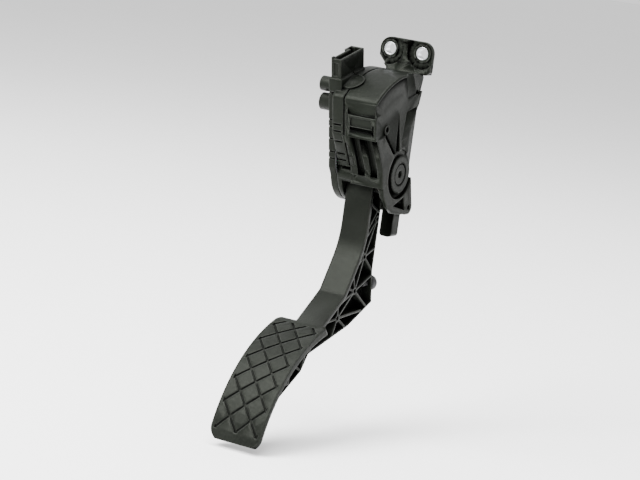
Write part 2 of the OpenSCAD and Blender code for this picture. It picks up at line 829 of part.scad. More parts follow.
module rotor_magnet() {
    color([0.3, 0.3, 0.32]) tilted() bar_x(rotor_x[0] + 0.1, rotor_x[0] + 0.8, 4);
}

// Bearings and shaft

module bush_right() {
    color([0.86, 0.84, 0.76]) tilted() difference() {
        bar_x(cheek_x, right_x - 1.4, bush_r);
        bar_x(cheek_x - cut, right_x, shaft_d / 2 + running_gap);
    }
}

module bush_left() {
    color([0.86, 0.84, 0.76]) tilted() difference() {
        union() {
            bar_x(web_x[0], web_x[1], bush_r);
            // Thrust flange beside the pedal's hub
            bar_x(web_x[1], arm_left_x - 0.2, bush_r + 2);
        }
        bar_x(web_x[0] - cut, arm_left_x, shaft_d / 2 + running_gap);
    }
}

module pivot_shaft() {
    color(plastic) tilted() difference() {
        union() {
            bar_x(web_x[0], right_x - 1, shaft_d / 2);
            bar_x(right_x - 1.4 + running_gap, right_x - 0.2, head_d / 2);
            translate([rotor_x[1] - tongue_t, -1.5, -3])
                cube([web_x[0] - rotor_x[1] + tongue_t + cut, 3, 6]);
        }
        bar_x(right_x - 6, right_x + cut, 2.4);
    }
}

washer_t = cheek_x - arm_right_x - 0.2;

module friction_washer() {
    color([0.8, 0.78, 0.7]) tilted() difference() {
        bar_x(cheek_x - washer_t, cheek_x, hub_r - 1);
        bar_x(cheek_x - washer_t - cut, cheek_x + cut, shaft_d / 2 + 1);
    }
}

// Pedal: arm and foot pad moulded in one piece
//
// The driver's side is one line walked from the hub to the foot of the pad.
// A move is [length, turn]; a heading of 270 points straight down.

// The driver's face starts this far above the pivot
face_rise = 2;
face_start = [-pivot_reach - hub_r, -pivot_drop + face_rise];
// The hub stays this far behind the driver's face
hub_inset = 0.4;
// The hub is this much wider than the arm on each side
hub_proud = 0.1;
arm_moves = [[arm_drop + face_rise, 0], [sweep_len, -sweep_turn], [mid_len, 0],
    [3, -crease_turn], [shin_len, 0]];
pad_moves = [[pad_len, pad_turn]];

function heading_step(h) = [cos(h), sin(h)];
function steps_of(moves) = [for (m = moves) let (n = max(1, ceil(abs(m[1]) / bend_step)))
    for (i = [1:n]) [m[0] / n, m[1] / n]];
// Each row is [point, heading]
function walk(at, steps, i = 0) = i == len(steps) ? [at] : concat([at],
    walk([at[0] + steps[i][0] * heading_step(at[1] + steps[i][1] / 2),
        at[1] + steps[i][1]], steps, i + 1));
function end_of(at, moves) = let (w = walk(at, steps_of(moves))) w[len(w) - 1];
// The line set back by t towards the bulkhead side
function set_back(w, t) = [for (p = w) p[0] + t * heading_step(p[1] + 90)];
function reversed(v) = [for (i = [len(v) - 1:-1:0]) v[i]];
function band(w, t0, t1) = concat(set_back(w, t0), reversed(set_back(w, t1)));

arm_start = [face_start, 270];
arm_line = walk(arm_start, steps_of(arm_moves));
// The face plate runs on a little way into the pad
tuck_in = end_of(arm_start, concat(arm_moves, [[2, 0]]));
shin_end = end_of(arm_start, arm_moves);
pad_start = [shin_end[0], shin_end[1] - pad_kick];
pad_line = walk(pad_start, steps_of(pad_moves));
pad_mid_x = arm_mid_x + pad_offset;

// Rear edge, from the hub down to the knee and along behind the pad
arm_depth = 16.2;
// Point t behind the driver's face, a part u of the way along move i of the arm
function station(i, u, t) = let (w = end_of(arm_start, concat([for (j = [0:1:i - 1])
    arm_moves[j]], [arm_moves[i] * u]))) w[0] + t * heading_step(w[1] + 90);
knee = station(2, 0.5, 37);
web_end = 0.88;
toe = end_of(pad_start, [[pad_len, pad_turn] * web_end]);
// Thickness of the pad a part u of the way down it
function pad_thick(u) = pad_t + (toe_t - pad_t) * u;
// Point t behind the pad's face, a part u of the way down it
function pad_back(u, t) = let (w = end_of(pad_start, [[pad_len, pad_turn] * u]))
    w[0] + t * heading_step(w[1] + 90);
rear_line = [station(0, 0.4, arm_depth), station(1, 0.86, arm_depth + 6.9), knee,
    station(4, 0.045, 23.2), pad_back(0.17, 11.5), pad_back(0.3, 17), pad_back(0.65, 10.4),
    pad_back(web_end, pad_thick(web_end))];

module arm_outline() {
    polygon(concat([for (p = arm_line) p[0]],
        [for (p = pad_line) if (p[1] < toe[1]) p[0] + 1 * heading_step(p[1] + 90)],
        reversed(rear_line), [[face_start[0] + hub_r, face_start[1]]]));
}

module rear_rim() {
    for (i = [0:len(rear_line) - 2]) bar_2d(rear_line[i], rear_line[i + 1], rim_t);
}

// Lattice: ring joints, and the ribs that fan out from them to both edges
rings = [station(0, 0.915, 13.9), station(1, 0.74, 7.2), station(2, 0.7, 11.3),
    station(4, 0.365, 9.3)];
ring_r = [2.5, 1.3];
// Ends of the ribs on the driver's face, named by move and part of the way
function face_at(i, u) = station(i, u, 0.8);
ribs = [
    [face_at(0, 0.585), station(0, 0.79, 15)], [rings[0], face_at(1, 0.455)],
    [station(0, 0.79, 12), face_at(1, 0.285)], [rings[0], rings[1]],
    [rings[1], face_at(1, 0.58)], [rings[1], station(1, 0.47, 17.6)],
    [rings[1], face_at(2, 0.29)], [rings[1], station(1, 0.86, 23)], [rings[1], rings[2]],
    [rings[2], face_at(2, 0.29)], [rings[2], face_at(2, 0.855)],
    [rings[2], station(1, 0.915, 24.8)], [rings[2], station(2, 0.76, 32.2)],
    [rings[2], rings[3]], [rings[2], face_at(4, 0.51)], [rings[3], face_at(4, 0.195)],
    [rings[3], station(2, 0.99, 28)], [rings[3], station(4, 0.18, 21)],
    [rings[3], station(4, 0.7, 15.7)], [rings[3], face_at(4, 0.915)],
    [pad_back(0.17, 11), pad_back(0.05, 3)], [pad_back(0.3, 16.5), pad_back(0.14, 3)],
    [pad_back(0.3, 16.5), pad_back(0.38, 3)], [pad_back(0.47, 13.6), pad_back(0.38, 3)],
    [pad_back(0.47, 13.6), pad_back(0.6, 3)], [pad_back(0.65, 10), pad_back(0.6, 3)]];

module lattice() {
    intersection() {
        arm_outline();
        union() {
            for (r = ribs) bar_2d(r[0], r[1], rib_t);
            for (c = rings) translate(c) circle(ring_r[0]);
        }
    }
}

// Horn that works the springs, drawn in the tilted side view
horn_x = [spring_x - 5, arm_right_x];

module horn_outline() {
    polygon([horn_front[0], horn_front[1], [saddle_y, spring_z + 4],
        [saddle_y + 3, spring_z + 7], horn_rear[1], horn_rear[0]]);
}

// Radii of the pad's upper and lower corners
pad_corner = [4, 7];

// Side view of the pad, thinner towards its toe
function pad_side() = let (n = len(pad_line) - 1) concat(set_back(pad_line, 0),
    [for (i = [n:-1:0]) pad_line[i][0] + pad_thick(i / n) * heading_step(pad_line[i][1] + 90)]);

module pad_plan() {
    x0 = pad_mid_x - pad_w / 2;
    start = pad_start[0];
    end = end_of(pad_start, pad_moves);
    chord = end[0] - start;
    span = norm(chord);
    // Lies in the plane of the pad's chord, with its height along the chord
    translate([0, start[0], start[1]])
        rotate([atan2(chord[1], chord[0]) - 180 + 90 + 90, 0, 0])
            translate([0, 0, -far]) linear_extrude(2 * far)
                hull() for (r = pad_corner, x = [x0 + r, x0 + pad_w - r])
                    translate([x, r == pad_corner[0] ? r - 0.5 : span - r]) circle(r);
}

// Diamond grooves, drawn on the same plane as the plan of the pad
module pad_grooves() {
    start = pad_start[0];
    chord = end_of(pad_start, pad_moves)[0] - start;
    span = norm(chord);
    half = pad_w / 2 - pad_margin;
    slope = 2 * diamond_pitch / (2 * half);
    first = 9.4;
    translate([0, start[0], start[1]])
        rotate([atan2(chord[1], chord[0]) - 180 + 90 + 90, 0, 0])
            translate([pad_mid_x, 0, -far]) linear_extrude(2 * far) intersection() {
                translate([-half - groove_w / 2, 4]) square([2 * half + groove_w, span - 9.5]);
                for (s = [-1, 1], i = [-1:8]) translate([0, first + i * diamond_pitch])
                    rotate(s * atan(slope)) translate([-far, -groove_w / 2])
                        square([2 * far, groove_w]);
            }
}

module pedal_arm() {
    color(plastic) difference() {
        union() {
            difference() {
                union() {
                    side(arm_left_x, arm_right_x)
                        polygon(band(concat(arm_line, [tuck_in]), 0, face_t));
                    side(arm_mid_x - web_t / 2, arm_mid_x + web_t / 2) arm_outline();
                    side(arm_left_x + 0.8, arm_right_x - 0.8) {
                        lattice();
                        intersection() {
                            arm_outline();
                            rear_rim();
                        }
                    }
                }
                for (c = rings) bar_x(arm_left_x, arm_right_x, ring_r[1], c[0], c[1]);
            }
            intersection() {
                side(pad_mid_x - pad_w / 2 - 1, pad_mid_x + pad_w / 2 + 1)
                    polygon(pad_side());
                pad_plan();
            }
            tilted() {
                bar_x(arm_left_x - hub_proud, arm_right_x + hub_proud, hub_r - hub_inset);
                side(horn_x[0], horn_x[1]) horn_outline();
            }
        }
        intersection() {
            side(-far, far) polygon(band(pad_line, -cut, groove_depth));
            pad_grooves();
        }
        tilted() bar_x(arm_left_x - cut, arm_right_x + cut, shaft_d / 2);
        translate(buffer_at) rotate([-90, 0, 0]) cylinder(r = buffer_stem_r, h = 20);
    }
}

// Rubber buffer plugged into the back of the arm
buffer_at = concat([1.5], station(2, 0.225, 24.2));
buffer_r = 4.9;
buffer_stem_r = 1.8;
buffer_len = 12.4;
buffer_neck = 7;

module stop_buffer() {
    color([0.06, 0.06, 0.06]) translate(buffer_at) rotate([-90, 0, 0]) {
        cylinder(r = buffer_stem_r, h = buffer_neck + 1);
        translate([0, 0, buffer_neck]) cylinder(r = buffer_r, h = buffer_len - buffer_neck);
    }
}

// Springs and their seats

seat_t = 2;
seat_pin = 4;
spring_start = -front_reach + wall + seat_t;
saddle_t = 2.4;
saddle_pin = 5;

module spring_saddle() {
    color([0.8, 0.78, 0.7]) tilted() translate([spring_x, 0, spring_z])
        rotate([90, 0, 0]) translate([0, 0, -saddle_y]) {
            cylinder(r = outer_spring_d / 2 + 0.6, h = saddle_t);
            cylinder(r = inner_spring_d / 2 - inner_wire - 0.3, h = saddle_t + saddle_pin);
        }
}

module spring_seat() {
    color([0.8, 0.78, 0.7]) tilted()
        translate([spring_x, -front_reach + wall, spring_z]) rotate([-90, 0, 0]) {
            cylinder(d = outer_spring_d, h = seat_t);
            cylinder(r = inner_spring_d / 2 - inner_wire - 0.3, h = seat_t + seat_pin);
        }
}

// Coil along Y: rings of wire carried round a helix, with one flat turn at each end
function coil_point(r, a, len, turns) = let (t = a / 360, u = min(max((t - 0.75) /
    (turns - 1.5), 0), 1)) [r * cos(a), u * len, r * sin(a)];

module coil(d, wire, len, turns, sides = 8, steps = 18) {
    r = (d - wire) / 2;
    n = turns * steps;
    pts = [for (i = [0:n]) let (a = i * 360 / steps, c = coil_point(r, a, len - wire, turns))
        for (k = [0:sides - 1]) let (b = k * 360 / sides)
            c + [wire / 2 * cos(b) * cos(a), wire / 2 * sin(b), wire / 2 * cos(b) * sin(a)]];
    faces = concat(
        [for (i = [0:n - 1], k = [0:sides - 1]) let (k2 = (k + 1) % sides)
            [i * sides + k, (i + 1) * sides + k, (i + 1) * sides + k2, i * sides + k2]],
        [[for (k = [0:sides - 1]) k]], [[for (k = [sides - 1:-1:0]) n * sides + k]]);
    translate([0, wire / 2, 0]) polyhedron(pts, faces);
}

spring_len = saddle_y - saddle_t - spring_start;

module outer_spring() {
    color(steel) tilted() translate([spring_x, spring_start, spring_z])
        coil(outer_spring_d, outer_wire, spring_len, 7);
}

module inner_spring() {
    color(steel) tilted() translate([spring_x, spring_start, spring_z])
        coil(inner_spring_d, inner_wire, spring_len, 8);
}

housing();
sensor_carrier();
sensor_cover();
cover_gasket();
circuit_board();
sensor_chip();
terminal(0);  // terminal_1
terminal(1);  // terminal_2
terminal(2);  // terminal_3
terminal(3);  // terminal_4
terminal(4);  // terminal_5
terminal(5);  // terminal_6
bush_left();
bush_right();
friction_washer();
pivot_shaft();
sensor_rotor();
rotor_magnet();
pedal_arm();
stop_buffer();
spring_saddle();
spring_seat();
outer_spring();
inner_spring();
sleeve(-1);  // sleeve_left
sleeve(1);  // sleeve_right
cover_screws();
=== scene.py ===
"""Looks of the hanging accelerator pedal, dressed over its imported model.

Lengths in the classes are in millimetres unless a docstring says otherwise. The origin
lies midway between the two bolt holes on the rear face. The casing leans by LEAN degrees
about the pivot, and its parts are worked out in that leaning frame first, with x across,
y back and z up from the pivot. A noise is given as features per metre, detail and
roughness, and a span as the values where a smooth rise starts and ends. A spread is how
far below its own value a roughness starts, and then how much each noise adds to it.
"""

import json
import logging
import math
from dataclasses import dataclass, field
from enum import Enum
from typing import Optional, Sequence, Union

import bmesh
import bpy
import numpy as np
from mathutils import Matrix, Vector

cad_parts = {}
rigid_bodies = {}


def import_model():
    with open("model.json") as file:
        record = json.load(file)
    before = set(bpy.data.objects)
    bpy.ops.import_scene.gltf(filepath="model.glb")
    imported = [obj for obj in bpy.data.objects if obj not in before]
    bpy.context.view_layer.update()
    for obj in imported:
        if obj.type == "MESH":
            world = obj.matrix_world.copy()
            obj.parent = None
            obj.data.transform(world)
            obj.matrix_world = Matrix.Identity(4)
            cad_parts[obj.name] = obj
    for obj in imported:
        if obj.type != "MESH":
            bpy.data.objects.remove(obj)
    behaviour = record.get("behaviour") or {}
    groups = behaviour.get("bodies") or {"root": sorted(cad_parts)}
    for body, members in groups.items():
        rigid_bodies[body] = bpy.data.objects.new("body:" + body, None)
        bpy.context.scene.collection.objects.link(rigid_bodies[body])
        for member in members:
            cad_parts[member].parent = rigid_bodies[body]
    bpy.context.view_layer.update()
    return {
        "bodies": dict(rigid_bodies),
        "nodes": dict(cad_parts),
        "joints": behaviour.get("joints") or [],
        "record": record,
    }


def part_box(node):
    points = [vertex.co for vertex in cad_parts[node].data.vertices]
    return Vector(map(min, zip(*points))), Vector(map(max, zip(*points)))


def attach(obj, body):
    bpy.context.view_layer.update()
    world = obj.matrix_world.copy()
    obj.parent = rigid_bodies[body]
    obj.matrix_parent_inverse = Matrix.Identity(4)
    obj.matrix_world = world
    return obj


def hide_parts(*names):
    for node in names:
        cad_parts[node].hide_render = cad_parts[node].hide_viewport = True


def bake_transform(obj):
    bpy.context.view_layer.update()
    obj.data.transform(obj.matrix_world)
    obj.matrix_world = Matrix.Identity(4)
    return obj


LOG = logging.getLogger("pedal")
MM = 0.001
PIVOT = np.array([0.0, -24.0, -74.0])
LEAN = 15.0
IMAGE = (640, 480)
# Distance in metres within which points of a new piece merge
MERGE = 2e-6
# Radius in mm of the tiny ring that stands for a pole, and the lobes of a screw's drive
POLE_R = 1e-4
LOBES = 6
# Largest share of a profile's side that one rounded corner takes
SIDE_SHARE = 0.45


# Frames and meshes


def leaning(points: np.ndarray) -> np.ndarray:
    """Carries points from the casing's leaning frame into the part's frame.

    Args:
        points: (..., 3) array in mm about the pivot.

    Returns:
        The same points in the part's frame: turned by LEAN about X, moved to the pivot.
    """
    a = math.radians(LEAN)
    turn = np.array([[1, 0, 0], [0, math.cos(a), -math.sin(a)], [0, math.sin(a), math.cos(a)]])
    return points @ turn.T + PIVOT


def mesh_object(name: str, verts: np.ndarray, faces: Sequence[Sequence[int]]) -> bpy.types.Object:
    """Makes an object at the origin from points in mm and faces.

    Args:
        name: name of the piece.
        verts: (n, 3) points in mm.
        faces: corner indices of each face.

    Returns:
        The new object, with its place in its mesh.
    """
    mesh = bpy.data.meshes.new(name)
    mesh.from_pydata((np.asarray(verts, float) * MM).tolist(), [], faces)
    mesh.update()
    obj = bpy.data.objects.new(name, mesh)
    bpy.context.scene.collection.objects.link(obj)
    return obj


def closed_piece(name: str, parts: Sequence[tuple], sharp: float = 35.0) -> bpy.types.Object:
    """Joins closed surfaces into one piece, merges their doubles and faces them outwards.

    Args:
        name: name of the piece.
        parts: (points, faces) of each surface, points in mm.
        sharp: angle in degrees above which an edge stays crisp.

    Returns:
        The new object, shaded smooth.
    """
    starts = np.cumsum([0] + [len(points) for points, _ in parts])
    verts = np.concatenate([points for points, _ in parts])
    faces = [[i + int(start) for i in f] for (_, fs), start in zip(parts, starts) for f in fs]
    obj = mesh_object(name, verts, faces)
    bm = bmesh.new()
    bm.from_mesh(obj.data)
    bmesh.ops.remove_doubles(bm, verts=bm.verts, dist=MERGE)
    bmesh.ops.recalc_face_normals(bm, faces=bm.faces)
    bm.to_mesh(obj.data)
    bm.free()
    obj.data.shade_smooth()
    obj.data.set_sharp_from_angle(angle=math.radians(sharp))
    return obj


def grid_faces(rows: int, cols: int) -> list:
    """Corner indices of a grid of quads, stored row by row and closed across the columns.

    Args:
        rows: number of rows of points.
        cols: number of points in a row, whose last joins its first.

    Returns:
        One list of four indices for each quad.
    """
    i, j = np.arange(rows - 1)[:, None], np.arange(cols)[None, :]
    j2 = (j + 1) % cols
    quads = np.stack([i * cols + j, i * cols + j2, (i + 1) * cols + j2, (i + 1) * cols + j], -1)
    return quads.reshape(-1, 4).tolist()


def rounded_profile(corners: np.ndarray, radius: float, steps: int = 5) -> np.ndarray:
    """Rounds the inner corners of an open profile.

    Each corner b between a and c becomes the curve (1-t)^2 p + 2t(1-t) b + t^2 q, where p
    and q lie on its two sides at the radius, or at under half of the shorter side.

    Args:
        corners: (n, 2) points of the profile.
        radius: distance from a corner at which the rounding starts.
        steps: points on each rounded corner.

    Returns:
        (m, 2) points of the rounded profile.
    """
    a, b, c = corners[:-2], corners[1:-1], corners[2:]
    la = np.linalg.norm(a - b, axis=1, keepdims=True)
    lc = np.linalg.norm(c - b, axis=1, keepdims=True)
    r = np.minimum(radius, SIDE_SHARE * np.minimum(la, lc))
    p, q = b + (a - b) * r / la, b + (c - b) * r / lc
    t = np.linspace(0, 1, steps)[None, :, None]
    arc = (1 - t) ** 2 * p[:, None] + 2 * t * (1 - t) * b[:, None] + t ** 2 * q[:, None]
    return np.concatenate([corners[:1], arc.reshape(-1, 2), corners[-1:]])


def turned(profile: np.ndarray, centre: Sequence[float], axis: str, sides: int = 64,
           lobes: Optional[np.ndarray] = None) -> tuple:
    """Turns a profile about an axis.

    The surface is (u, v) -> centre + along(v) * axis + r(u, v) * (cos u, sin u), with
    r(u, v) = radius(v) + lobe(v) * cos(LOBES * u), where v runs along the profile. The
    profile's ends lie on the axis, or its last point is its first.

    Args:
        profile: (n, 2) rows of distance along the axis and radius, in mm.
        centre: point on the axis from which the distances are measured.
        axis: "x" or "y".
        sides: number of steps round the axis.
        lobes: height of the lobes at each point of the profile, or None for none.

    Returns:
        Points in mm and faces.
    """
    u = np.linspace(0, 2 * math.pi, sides, endpoint=False)
    radius = np.maximum(profile[:, 1:], POLE_R)
    if lobes is not None:
        radius = radius + lobes[:, None] * np.cos(LOBES * u)
    c, s = radius * np.cos(u), radius * np.sin(u)
    flat = np.broadcast_to(profile[:, :1], c.shape)
    grid = np.stack([flat, c, s] if axis == "x" else [s, flat, c], -1)
    return grid.reshape(-1, 3) + np.asarray(centre, float), grid_faces(len(profile), sides)


def pillow(centre: Sequence[float], half: Sequence[float], power: float = 0.22,
           steps: int = 12) -> tuple:
    """A box with soft edges.

    The surface is (u, v) -> centre + half * (c(u) c(v), c(u) s(v), s(u)), where c and s are
    the cosine and sine raised to the power with their signs kept. v starts pi/8 on, so
    that no column of points runs along the middle of a side.

    Args:
        centre: middle of the box in mm.
        half: half of its size along each axis.
        power: 1 for an ellipsoid, towards 0 for a sharp box.
        steps: rows from pole to pole, half of the steps round.

    Returns:
        Points in mm and faces.
    """
    def bent(values: np.ndarray) -> np.ndarray:
        """Values raised to the power, with their signs kept."""
        return np.sign(values) * np.abs(values) ** power

    u = np.linspace(-math.pi / 2, math.pi / 2, steps)[:, None]
    v = np.linspace(-math.pi, math.pi, 2 * steps, endpoint=False)[None, :] + math.pi / 8
    cu = bent(np.maximum(np.cos(u), 0))
    grid = np.stack([cu * bent(np.cos(v)), cu * bent(np.sin(v)),
                     bent(np.sin(u)) * np.ones_like(v)], -1)
    return grid.reshape(-1, 3) * half + np.asarray(centre, float), grid_faces(steps, 2 * steps)


def swept_wire(path: np.ndarray, radius: float, sides: int = 14) -> tuple:
    """Carries a circle along a coil's path and closes both ends.

    The surface is (t, u) -> path(t) + radius * (cos u * n(t) + sin u * b(t)), where n is
    square to the tangent and to the leaning axis, and b completes the frame.

    Args:
        path: (n, 3) points in mm.
        radius: radius of the wire.
        sides: steps round the wire.

    Returns:
        Points in mm and faces.
    """
    tangent = np.gradient(path, axis=0)
    tangent /= np.linalg.norm(tangent, axis=1, keepdims=True)
    lean = math.radians(LEAN)
    side = np.cross(tangent, np.array([0.0, math.cos(lean), math.sin(lean)]))
    side /= np.linalg.norm(side, axis=1, keepdims=True)
    up = np.cross(side, tangent)
    u = np.linspace(0, 2 * math.pi, sides, endpoint=False)
    ring = np.cos(u)[None, :, None] * side[:, None] + np.sin(u)[None, :, None] * up[:, None]
    points = (path[:, None] + radius * ring).reshape(-1, 3)
    n = len(path)
    ends = [list(range(sides))[::-1], list(range((n - 1) * sides, n * sides))]
    return points, grid_faces(n, sides) + ends


# Shader expressions


class Sock:
    """An output socket that takes part in Python arithmetic."""

    def __init__(self, tree: "Tree", socket: bpy.types.NodeSocket) -> None:
        """Keeps the socket and the tree that new nodes go into."""
        self.tree, self.socket = tree, socket

    def _math(self, operation: str, *values: Union["Sock", float]) -> "Sock":
        """Adds a Math node for an operation on values."""
        return self.tree.node("ShaderNodeMath", {"operation": operation},
                              dict(enumerate(values)))

    def __add__(self, other: Union["Sock", float]) -> "Sock":
        """self + other."""
        return self._math("ADD", self, other)

    def __sub__(self, other: Union["Sock", float]) -> "Sock":
        """self - other."""
        return self._math("SUBTRACT", self, other)

    def __rsub__(self, other: float) -> "Sock":
        """other - self."""
        return self._math("SUBTRACT", other, self)

    def __mul__(self, other: Union["Sock", float]) -> "Sock":
        """self * other."""
        return self._math("MULTIPLY", self, other)

    __radd__, __rmul__ = __add__, __mul__

    def above(self, low: float, high: float) -> "Sock":
        """Rises smoothly from 0 at low to 1 at high."""
        return self.tree.node("ShaderNodeMapRange", {"interpolation_type": "SMOOTHSTEP"},
                              {"Value": self, "From Min": low, "From Max": high})


class Tree:
    """The node tree of one material.

    edge_span and painted_shade_span are the spans that turn leaning normals into edges and
    hidden surroundings into painted shade in recesses.
    """

    edge_span: tuple = (0.004, 0.11)
    # Painted shade in recesses: its span, its strongest share, and the black that it paints
    painted_shade_span: tuple = (0.16, 0.54)
    painted_shade_share: float = 0.88
    black: tuple = (0.002, 0.002, 0.002)

    def __init__(self, name: str) -> None:
        """Makes an empty material with its output and shader.

        Args:
            name: the material's name.
        """
        self.material = bpy.data.materials.new(name)
        self.material.use_nodes = True
        self.nodes = self.material.node_tree.nodes
        self.links = self.material.node_tree.links
        self.nodes.clear()
        self.output = self.nodes.new("ShaderNodeOutputMaterial")
        self.shader = self.nodes.new("ShaderNodeBsdfPrincipled")

    def node(self, kind: str, settings: Optional[dict] = None, inputs: Optional[dict] = None,
             out: Union[int, str] = 0) -> Sock:
        """Adds a node.

        Args:
            kind: the node's type name.
            settings: its properties, set first.
            inputs: values or links of its sockets, by name or place.
            out: the output to return.

        Returns:
            The chosen output.
        """
        n = self.nodes.new(kind)
        for key, value in (settings or {}).items():
            setattr(n, key, value)
        for key, value in (inputs or {}).items():
            self.feed(n.inputs[key], value)
        return Sock(self, n.outputs[out])

    def feed(self, socket: bpy.types.NodeSocket, value: object) -> None:
        """Links or sets one socket.

        Args:
            socket: the input to feed.
            value: an expression to link, a colour of three values, or a plain value.
        """
        if isinstance(value, Sock):
            self.links.new(value.socket, socket)
        elif isinstance(value, tuple) and socket.type == "RGBA":
            socket.default_value = (*value, 1)
        else:
            socket.default_value = value

    def where(self) -> Sock:
        """Object coordinates in metres."""
        return self.node("ShaderNodeTexCoord", out="Object")

    def height(self) -> Sock:
        """Height of the point in metres."""
        return self.node("ShaderNodeSeparateXYZ", {}, {0: self.where()}, out="Z")

    def noise(self, scale: float, detail: float = 3.0, rough: float = 0.5) -> Sock:
        """Noise over the piece; scale is in features per metre."""
        return self.node("ShaderNodeTexNoise", {}, {
            "Vector": self.where(), "Scale": scale, "Detail": detail, "Roughness": rough})

    def blend(self, factor: Sock, a: Union[Sock, tuple], b: Union[Sock, tuple]) -> Sock:
        """Mixes two colours."""
        return self.node("ShaderNodeMix", {"data_type": "RGBA"}, {0: factor, 6: a, 7: b}, out=2)

    def uneven(self, rough: float, spread: Sequence[float], *noises: Sock) -> Sock:
        """Varies a roughness: rough - spread[0] + spread[1] * noise 1, and so on.

        Args:
            rough: the roughness.
            spread: how far below it the result starts, then the share of each noise.
            noises: the noises, from 0 to 1.

        Returns:
            The uneven roughness.
        """
        value = rough - spread[0]
        for noise, share in zip(noises, spread[1:]):
            value = value + noise * share
        return value

    def rounded(self, radius: float, samples: int = 8) -> Sock:
        """The normal as it would be with every edge rounded to a radius in metres."""
        return self.node("ShaderNodeBevel", {"samples": samples}, {"Radius": radius})

    def edges(self, radius: float) -> Sock:
        """Finds the edges from how far the rounded normal leans from the flat one.

        Args:
            radius: radius of the rounded normal in metres.

        Returns:
            1 on edges, falling to 0 on flats.
        """
        flat = self.node("ShaderNodeNewGeometry", out="Normal")
        dot = self.node("ShaderNodeVectorMath", {"operation": "DOT_PRODUCT"},
                        {0: self.rounded(radius, 6), 1: flat}, out="Value")
        return (1.0 - dot).above(*self.edge_span)

    def painted_recess_shade(self, reach: float) -> Sock:
        """Paints shade into grooves and pockets, from how much of the surroundings is hidden.

        Args:
            reach: distance in metres within which a surface hides them.

        Returns:
            0 on open faces, rising to painted_shade_share of painted shade deep inside.
        """
        open_sky = self.node("ShaderNodeAmbientOcclusion", {"samples": 8},
                             {"Distance": reach}, out="AO")
        return (1.0 - open_sky).above(*self.painted_shade_span) * self.painted_shade_share

    def finish(self, base: Union[Sock, tuple], rough: Union[Sock, float],
               bump: Optional[Sock] = None, depth: float = 0.0, edge: float = 0.0,
               shade: Optional[Sock] = None, **constants: float) -> bpy.types.Material:
        """Feeds the shader and links it to the output.

        Args:
            base: base colour.
            rough: roughness.
            bump: height that the bump reads, or None.
            depth: depth of the bump in metres.
            edge: radius of the rounded edges in metres, or 0.
            shade: where painted shade turns the surface black, or None.
            constants: values set on the shader's own sockets, underscores for spaces.

        Returns:
            The material.
        """
        self.feed(self.shader.inputs["Base Color"], base)
        self.feed(self.shader.inputs["Roughness"], rough)
        normal = self.rounded(edge) if edge else None
        if bump is not None:
            under = {} if normal is None else {"Normal": normal}
            normal = self.node("ShaderNodeBump", {},
                               {"Height": bump, "Distance": depth, "Strength": 1.0, **under})
        if normal is not None:
            self.feed(self.shader.inputs["Normal"], normal)
        for key, value in constants.items():
            self.shader.inputs[key.replace("_", " ")].default_value = value
        surface = Sock(self, self.shader.outputs[0])
        # Painted shade: a black diffuse is mixed in where shade rises
        if shade is not None:
            black = self.node("ShaderNodeBsdfDiffuse", {}, {"Color": self.black})
            surface = self.node("ShaderNodeMixShader", {}, {0: shade, 1: surface, 2: black})
        self.feed(self.output.inputs["Surface"], surface)
        return self.material


# Finishes


class Grain(Enum):
    """How a moulded surface is textured: features per metre and depth in metres."""

    FINE = (5200.0, 0.000035)
    SATIN = (8200.0, 0.00002)
    COARSE = (3300.0, 0.00006)


